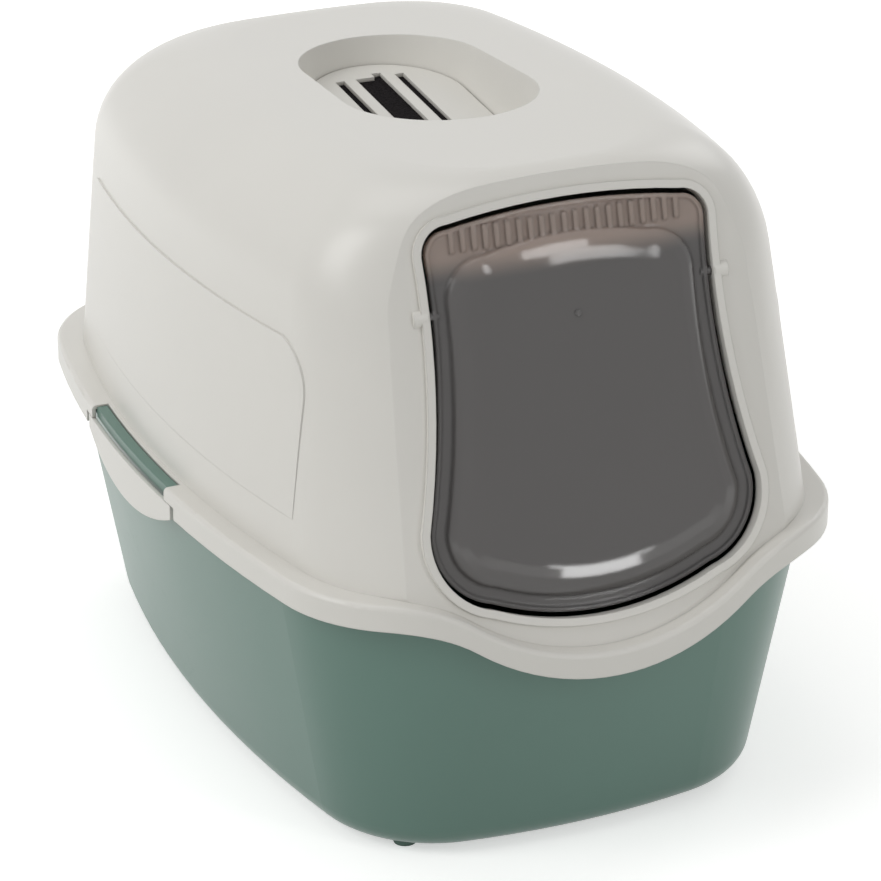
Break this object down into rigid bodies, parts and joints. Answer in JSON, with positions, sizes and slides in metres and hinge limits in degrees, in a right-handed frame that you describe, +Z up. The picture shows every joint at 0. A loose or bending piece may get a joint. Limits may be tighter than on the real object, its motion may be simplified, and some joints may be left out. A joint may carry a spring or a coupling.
{
  "type": "covered litter box",
  "caption": "Covered litter box: deep pan under a lift-off domed hood with a bell-shaped swing flap, side latches and a filter cartridge in a roof scoop.",
  "frame": {"origin": "middle of the footprint, on the floor under the feet", "axes": "-Y towards the entrance at the front, +Z up, +X to the right of someone who faces the entrance"},
  "size_m": [0.396, 0.5599, 0.4132],
  "materials": {
    "hood_plastic": "satin",
    "pan_plastic": "satin",
    "flap_plastic": "gloss",
    "filter_foam": "matte",
    "foot_rubber": "matte"
  },
  "bodies": {
    "pan": {"litter_pan": "pan_plastic", "pan_feet": "foot_rubber"},
    "hood": {"hood": "hood_plastic"},
    "flap": {"flap": "flap_plastic"},
    "filter_cartridge": {"filter_cover": "hood_plastic", "carbon_filter": "filter_foam"},
    "left_latch": {"left_latch": "hood_plastic"},
    "right_latch": {"right_latch": "hood_plastic"}
  },
  "joints": [
    {"name": "hood_lift", "type": "slide", "parent": "pan", "child": "hood", "axis": [0, 0, 1], "range_m": [0, 0.25]},
    {"name": "flap_swing", "type": "hinge", "parent": "hood", "child": "flap", "pos_m": [0, -0.20632, 0.34119], "axis": [1, 0, 0], "range_deg": [-75, 75]},
    {"name": "left_latch_flex", "type": "hinge", "parent": "hood", "child": "left_latch", "pos_m": [-0.198, 0.018, 0.1805], "axis": [0, 1, 0], "range_deg": [0, 12], "stiffness_Nm_per_rad": 0.6},
    {"name": "right_latch_flex", "type": "hinge", "parent": "hood", "child": "right_latch", "pos_m": [0.198, 0.018, 0.1805], "axis": [0, -1, 0], "range_deg": [0, 12], "stiffness_Nm_per_rad": 0.6},
    {"name": "filter_lift", "type": "slide", "parent": "hood", "child": "filter_cartridge", "axis": [0, -0.1045, 0.9945], "range_m": [0, 0.08]}
  ]
}
